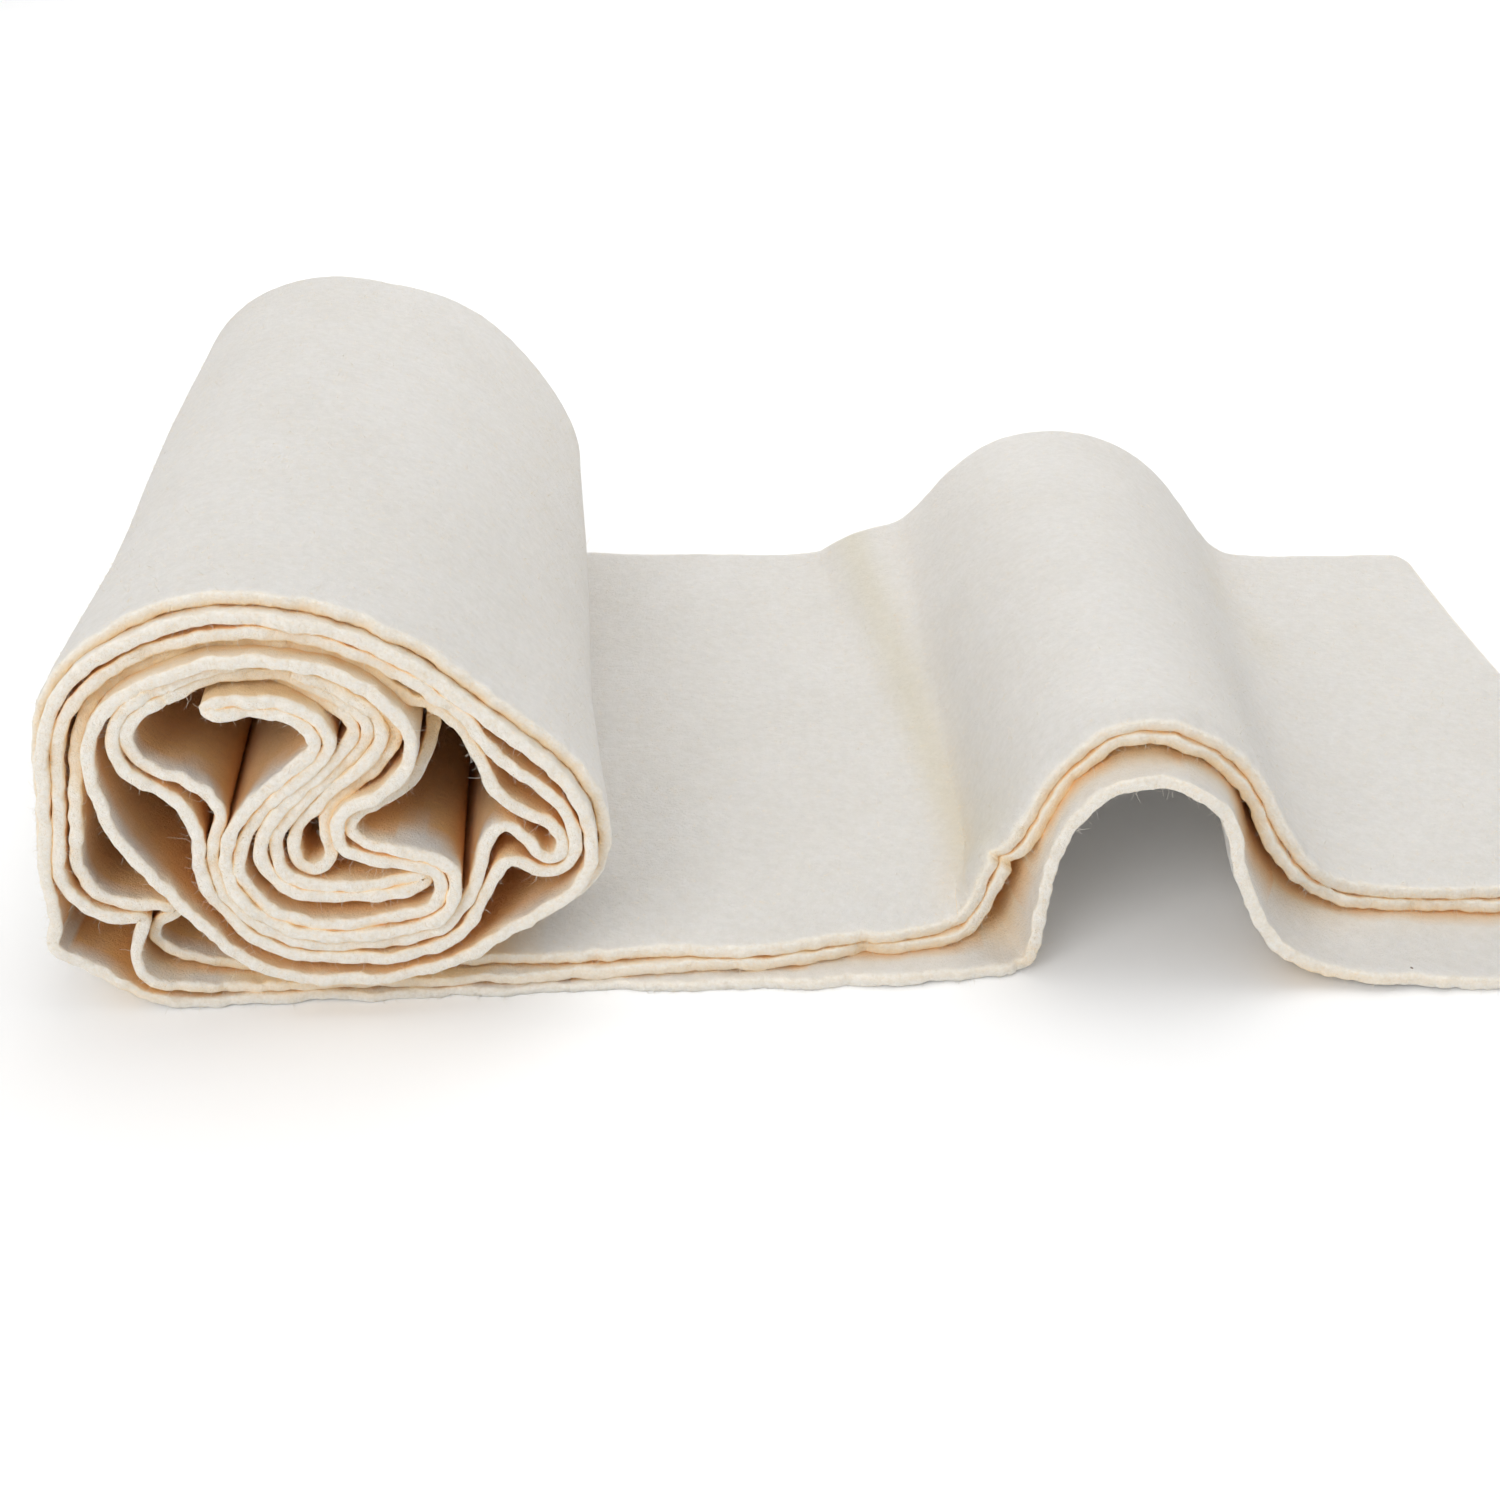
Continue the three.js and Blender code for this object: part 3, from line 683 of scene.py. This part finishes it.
def batting_felt(name, colours, fluff):
    """Needled unbleached cotton: matt and mottled and whiter where cut, with warm painted shade where it is
    tucked, in its crevices and in the valleys of its hump.
    """
    material = bpy.data.materials.new(name)
    material.use_nodes = True
    nodes, link = material.node_tree.nodes, material.node_tree.links.new
    shader = nodes["Principled BSDF"]
    shader.inputs["Roughness"].default_value = 0.95
    shader.inputs["Specular IOR Level"].default_value = 0.12
    shader.subsurface_method = "BURLEY"
    shader.inputs["Subsurface Weight"].default_value = 0.6
    shader.inputs["Subsurface Radius"].default_value = (1, 0.7, 0.4)
    shader.inputs["Subsurface Scale"].default_value = 0.0014
    shader.inputs["Sheen Weight"].default_value = 0.25
    shader.inputs["Sheen Roughness"].default_value = 0.6
    shader.inputs["Sheen Tint"].default_value = (1, 0.96, 0.9, 1)
    where = nodes.new("ShaderNodeTexCoord")

    def clouds(size, detail, rough):
        noise = nodes.new("ShaderNodeTexNoise")
        noise.inputs["Scale"].default_value = size
        noise.inputs["Detail"].default_value = detail
        noise.inputs["Roughness"].default_value = rough
        link(where.outputs["Object"], noise.inputs["Vector"])
        return noise.outputs["Fac"]

    def graded(value, low, high, low_colour, high_colour):
        ramp = nodes.new("ShaderNodeValToRGB")
        ramp.color_ramp.elements[0].position, ramp.color_ramp.elements[0].color = low, (*low_colour, 1)
        ramp.color_ramp.elements[1].position, ramp.color_ramp.elements[1].color = high, (*high_colour, 1)
        link(value, ramp.inputs["Fac"])
        return ramp.outputs["Color"]

    def mixed(share, under, over, how="MIX"):
        mix = nodes.new("ShaderNodeMix")
        mix.data_type, mix.blend_type = "RGBA", how
        sockets = (mix.inputs["Factor"], mix.inputs["A"], mix.inputs["B"])
        for value, socket in zip((share, under, over), sockets):
            if isinstance(value, (int, float, tuple)):
                socket.default_value = value
            else:
                link(value, socket)
        return mix.outputs["Result"]

    def share_of(attribute):
        read = nodes.new("ShaderNodeAttribute")
        read.attribute_name = attribute
        return read.outputs["Fac"]

    patches = graded(clouds(28, 4, 0.6), 0.3, 0.7, colours["face_dull"], colours["face"])
    colour = mixed(share_of("rim"), patches, (*colours["cut"], 1))
    tufts = graded(clouds(420, 3, 0.7), 0.32, 0.68, (0.93, 0.925, 0.91), (1, 1, 1))
    colour = mixed(1.0, colour, tufts, "MULTIPLY")
    # painted shade: small dark spots on the cut edges stand for the shadows in its pits
    painted_pit_shade = graded(clouds(900, 3, 0.75), 0.34, 0.56, (0.94, 0.91, 0.86), (1, 1, 1))
    colour = mixed(share_of("rim"), colour, mixed(1.0, colour, painted_pit_shade, "MULTIPLY"))
    # painted shade: tucked faces are multiplied towards orange, the more the deeper they are tucked
    shade = graded(share_of("painted_tuck_shade"), 0.0, 1.0, (1, 1, 1), colours["painted_tuck_shade"])
    colour = mixed(1.0, colour, shade, "MULTIPLY")
    # painted shade: a warm tint in the valleys at the feet of the hump
    valley_shade_colour = mixed(share_of("painted_valley_shade"), (1, 1, 1, 1), (*colours["valley_shade_tint"], 1))
    colour = mixed(1.0, colour, valley_shade_colour, "MULTIPLY")
    # painted light and shade: where ambient occlusion finds plies close together above the table, the colour
    # is painted orange, standing for light that has passed through the felt and comes out where two plies
    # meet
    open_sky = nodes.new("ShaderNodeAmbientOcclusion")
    open_sky.samples = 3
    open_sky.inputs["Distance"].default_value = 0.012
    closed = graded(open_sky.outputs["AO"], 0.3, 0.78, (1, 1, 1), (0, 0, 0))
    height_of = nodes.new("ShaderNodeSeparateXYZ")
    link(where.outputs["Object"], height_of.inputs["Vector"])
    off_table = nodes.new("ShaderNodeMapRange")
    off_table.inputs["From Min"].default_value = 0.0014
    off_table.inputs["From Max"].default_value = 0.005
    link(height_of.outputs["Z"], off_table.inputs["Value"])
    painted_crease_light = mixed(1.0, closed, off_table.outputs["Result"], "MULTIPLY")
    colour = mixed(painted_crease_light, colour, mixed(share_of("painted_tuck_shade"), (*colours["painted_crease_light"], 1), (*colours["deep"], 1)))
    # stray flecks of seed and leaf, few and small
    spots = nodes.new("ShaderNodeTexVoronoi")
    spots.inputs["Scale"].default_value = 62
    link(where.outputs["Object"], spots.inputs["Vector"])
    fleck = graded(spots.outputs["Distance"], 0.018, 0.03, (1, 1, 1), (0, 0, 0))
    rare = graded(clouds(31, 1, 0.5), 0.6, 0.62, (0, 0, 0), (1, 1, 1))
    colour = mixed(mixed(1.0, fleck, rare, "MULTIPLY"), colour, (*colours["fleck"], 1))
    link(colour, shader.inputs["Base Color"])
    height = mixed(0.5, clouds(1100, 5, 0.75), clouds(280, 4, 0.65))
    height = mixed(share_of("rim"), height, mixed(0.6, height, clouds(760, 4, 0.8)))
    bump = nodes.new("ShaderNodeBump")
    bump.inputs["Strength"].default_value = fluff
    bump.inputs["Distance"].default_value = 0.0016
    link(height, bump.inputs["Height"])
    link(bump.outputs["Normal"], shader.inputs["Normal"])
    return material


felt_colours = {
    "face": (0.805, 0.785, 0.755),
    "face_dull": (0.775, 0.75, 0.71),
    "cut": (0.9, 0.865, 0.8),
    # The next four colours are painted shade and light: tucks, crevices, deep hollows and the valleys of the
    # hump.
    "painted_tuck_shade": (1.0, 0.6, 0.24),
    "painted_crease_light": (0.99, 0.71, 0.36),
    "deep": (0.95, 0.5, 0.16),
    "valley_shade_tint": (0.95, 0.915, 0.8),
    "fleck": (0.16, 0.1, 0.06),
}
needled_cotton = batting_felt("needled_cotton", felt_colours, 0.9)
felt_pieces = {}
for name, inside, outside in (("outer_fold", "upper", "outermost"), ("inner_fold", "middle", "lower")):
    piece, points, number, normal = felt_piece(name, inside, outside)
    piece.data.materials.append(needled_cotton)
    felt_pieces[name] = (piece, points, number, normal)
outer_fold, inner_fold = felt_pieces["outer_fold"][0], felt_pieces["inner_fold"][0]
for piece in (outer_fold, inner_fold):
    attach(piece, "root")
    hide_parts("wound_roll", "loose_end")

# ---------------------------------------------------------------------------------------------
# Loose fibres. Cut cotton felt sheds a haze of short curled hairs along its edges and a finer one
# on its faces. Each hair is a thin three-sided strand with its root in the felt.
# ---------------------------------------------------------------------------------------------
hair_steps = 3
hair_width = 0.05
hairs_each_station = 1.6
lying_hairs = 2600
roll_hairs = 3600


def hairs(name, roots, ways, lengths, seed):
    """Thin curled strands from their roots, each in its own way, as one closed mesh piece."""
    luck = np.random.default_rng(seed)
    count = len(roots)
    ways = ways / np.linalg.norm(ways, axis=1)[:, None]
    curl = np.cross(ways, luck.normal(size=(count, 3)))
    curl /= np.linalg.norm(curl, axis=1)[:, None]
    bow = luck.uniform(-0.9, 0.9, count)[:, None]
    twist = np.cross(ways, curl)
    wave = luck.uniform(0, 0.5, count)[:, None]
    along = np.linspace(0, 1, hair_steps)
    spine = []
    for t in along:
        course = ways * t + curl * bow * t * t + twist * wave * np.sin(t * 5) * t
        spine.append(roots + lengths[:, None] * course)
    spine = np.stack(spine, 1)
    taper = 1 - 0.6 * along
    rings = []
    for corner in range(3):
        angle = corner * 2 * np.pi / 3
        offset = curl * np.cos(angle) + twist * np.sin(angle)
        rings.append(spine + offset[:, None] * (hair_width * taper)[None, :, None])
    points = np.stack(rings, axis=2).reshape(count, hair_steps * 3, 3)
    points[..., 2] = np.maximum(points[..., 2], 0.02)
    one = []
    for step in range(hair_steps - 1):
        for corner in range(3):
            following = (corner + 1) % 3
            low, high = step * 3, step * 3 + 3
            one.append((low + corner, low + following, high + following, high + corner))
    ends = [(2, 1, 0), (hair_steps * 3 - 3, hair_steps * 3 - 2, hair_steps * 3 - 1)]
    start = np.arange(count) * hair_steps * 3
    faces = (start[:, None, None] + np.array(one)).reshape(-1, 4).tolist()
    faces += (start[:, None, None] + np.array(ends)).reshape(-1, 3).tolist()
    mesh = bpy.data.meshes.new(name)
    mesh.from_pydata((points.reshape(-1, 3) * MM).tolist(), [], faces)
    mesh.shade_smooth()
    piece = bpy.data.objects.new(name, mesh)
    bpy.context.collection.objects.link(piece)
    return piece


luck = np.random.default_rng(5)
edge_roots, edge_ways, face_roots, face_ways = [], [], [], []
for name, (piece, points, number, normal) in felt_pieces.items():
    total = len(normal)
    for column in (0, number.shape[1] - 1):
        here = number[:, column]
        here = here[here >= 0]
        top, low = points[here], points[here + total]
        for _ in range(2):
            pick = luck.integers(0, len(here) - 1, int(len(here) * hairs_each_station))
            up, on = luck.uniform(-0.1, 1.1, (len(pick), 1)), luck.uniform(0, 1, (len(pick), 1))
            near_end = low[pick] * (1 - up) + top[pick] * up
            far_end = low[pick + 1] * (1 - up) + top[pick + 1] * up
            root = near_end * (1 - on) + far_end * on
            way = normal[here[pick]] * (up - 0.5) * luck.uniform(0.5, 3, (len(pick), 1))
            way = way + luck.normal(size=(len(pick), 3)) * 0.55
            way[:, 1] = -np.abs(way[:, 1]) * 0.6 - 0.25
            root[:, 1] += 0.25
            edge_roots.append(root)
            edge_ways.append(way)
edge_roots, edge_ways = np.vstack(edge_roots), np.vstack(edge_ways)
edge_lengths = luck.gamma(2.0, 0.45, len(edge_roots)) + 0.3
edge_hairs = hairs("edge_hairs", edge_roots, edge_ways, edge_lengths, 9)

# The haze on the faces that show: the lying cloth and the outside of the roll.
piece, points, number, normal = felt_pieces["outer_fold"]
total = len(normal)
lying_stop = int(np.searchsorted(row, -3))
outer_columns = np.arange(rows_across * 2 + fold_steps - 1, rows_across + fold_steps - 1, -1)
for share, first, last, columns in (
    (lying_hairs, 0, lying_stop, np.arange(rows_across)),
    (roll_hairs, lying_stop + 60, fold_stop - 40, outer_columns),
):
    station = luck.integers(first, last, share)
    row_depth = points[number[first, columns], 1]
    depth = luck.uniform(row_depth[0], row_depth[-1], share)
    column = np.clip(np.searchsorted(row_depth, depth) - 1, 0, len(columns) - 2)
    part = ((depth - row_depth[column]) / (row_depth[column + 1] - row_depth[column]))[:, None]
    here, beside = number[station, columns[column]], number[station, columns[column + 1]]
    face_roots.append(points[here + total] * (1 - part) + points[beside + total] * part)
    face_ways.append(-normal[here] * luck.uniform(0.1, 0.8, (share, 1)) + luck.normal(size=(share, 3)) * 0.5)
face_roots, face_ways = np.vstack(face_roots), np.vstack(face_ways)
face_hairs = hairs("face_hairs", face_roots, face_ways, luck.gamma(2.2, 0.5, len(face_roots)) + 0.3, 13)

hair_cotton = bpy.data.materials.new("hair_cotton")
hair_cotton.use_nodes = True
nodes, link = hair_cotton.node_tree.nodes, hair_cotton.node_tree.links.new
strand = nodes["Principled BSDF"]
strand.inputs["Roughness"].default_value = 0.8
strand.inputs["Specular IOR Level"].default_value = 0.2
where = nodes.new("ShaderNodeTexCoord")
tone = nodes.new("ShaderNodeTexNoise")
tone.inputs["Scale"].default_value = 240
tones = nodes.new("ShaderNodeValToRGB")
tones.color_ramp.elements[0].color = (0.82, 0.74, 0.6, 1)
tones.color_ramp.elements[1].color = (0.95, 0.92, 0.86, 1)
link(where.outputs["Object"], tone.inputs["Vector"])
link(tone.outputs["Fac"], tones.inputs["Fac"])
link(tones.outputs["Color"], strand.inputs["Base Color"])
for piece in (edge_hairs, face_hairs):
    piece.data.materials.append(hair_cotton)
    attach(piece, "root")

# ---------------------------------------------------------------------------------------------
# Pale table, plain soft studio light, and the camera at the photograph's viewing angle, in front of
# the roll and above it.
# ---------------------------------------------------------------------------------------------
bpy.ops.mesh.primitive_plane_add(size=8, location=(0, 0, 0))
table = bpy.context.object
table.name = "table"
paper = bpy.data.materials.new("table_paper")
paper.use_nodes = True
paper.node_tree.nodes["Principled BSDF"].inputs["Base Color"].default_value = (0.97, 0.97, 0.97, 1)
paper.node_tree.nodes["Principled BSDF"].inputs["Roughness"].default_value = 0.9
table.data.materials.append(paper)

sky = bpy.data.worlds.new("studio")
sky.use_nodes = True
sky.node_tree.nodes["Background"].inputs["Color"].default_value = (1, 1, 1, 1)
sky.node_tree.nodes["Background"].inputs["Strength"].default_value = 0.66
bpy.context.scene.world = sky


def soft_box(name, place, aim, size, power):
    light = bpy.data.lights.new(name, "AREA")
    light.shape, light.size, light.energy = "DISK", size, power
    lamp = bpy.data.objects.new(name, light)
    lamp.location = place
    lamp.rotation_euler = (Vector(aim) - Vector(place)).to_track_quat("-Z", "Y").to_euler()
    bpy.context.collection.objects.link(lamp)


soft_box("key", (-0.95, -1.35, 1.05), (-0.08, -0.02, 0.04), 1.1, 13.5)
soft_box("top", (0.3, 0.3, 1.8), (0, 0, 0.03), 1.6, 10)
soft_box("behind", (0.25, 1.3, 0.34), (0.06, 0, 0.02), 0.8, 8)

lens = bpy.data.cameras.new("lens")
lens.lens, lens.sensor_width, lens.shift_x = 50.4, 36, 0.1433
lens.clip_start = 0.01
viewer = bpy.data.objects.new("viewer", lens)
viewer.location = (-0.09027, -0.541, 0.3053)
viewer.rotation_euler = (np.radians(60.73), 0, 0)
bpy.context.collection.objects.link(viewer)
bpy.context.scene.camera = viewer
bpy.context.scene.view_settings.view_transform = "Standard"
